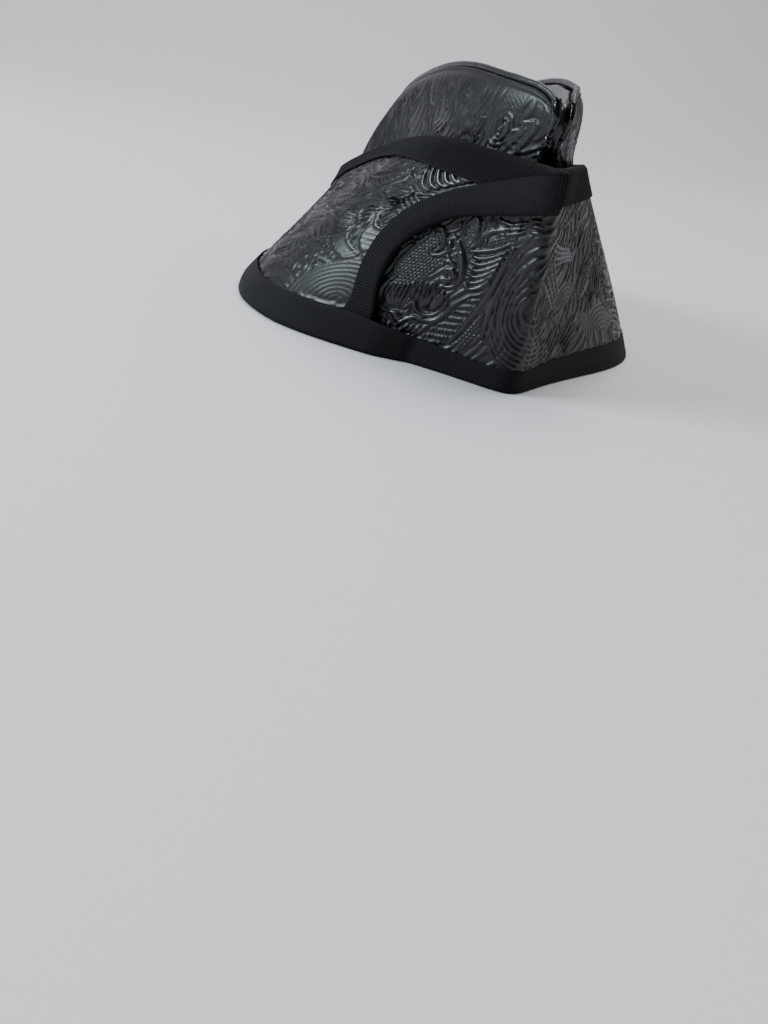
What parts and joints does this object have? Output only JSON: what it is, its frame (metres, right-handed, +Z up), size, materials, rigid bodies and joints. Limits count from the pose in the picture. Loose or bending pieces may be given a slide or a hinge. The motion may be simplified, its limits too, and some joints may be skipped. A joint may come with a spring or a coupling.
{
  "type": "garrison cap",
  "caption": "Side cap of floral embossed black leather: wrapped curtain with a lapped front wing, folded crown, ribbon-bound edges.",
  "frame": {"origin": "middle of the bounding box, on the plane that the rim rests on", "axes": "+Y towards the back of the cap, +X towards the wearer's left, +Z up"},
  "size_m": [0.1616, 0.2048, 0.0973],
  "materials": {
    "curtain_leather": "embossed, semi-gloss black",
    "panel_leather": "embossed, semi-gloss black",
    "gusset_leather": "embossed, glossy black, creased",
    "edge_leather": "turned edge, grey sheen",
    "grosgrain": "matte black ribbed ribbon"
  },
  "bodies": {
    "root": {"curtain": "curtain_leather", "crown_panel_right": "panel_leather", "crown_panel_left": "panel_leather", "crown_gusset": "gusset_leather", "crown_seam_right": "edge_leather", "crown_seam_left": "edge_leather", "top_edge_binding": "grosgrain", "wing_end_binding": "grosgrain", "rim_binding": "grosgrain"}
  },
  "joints": []
}
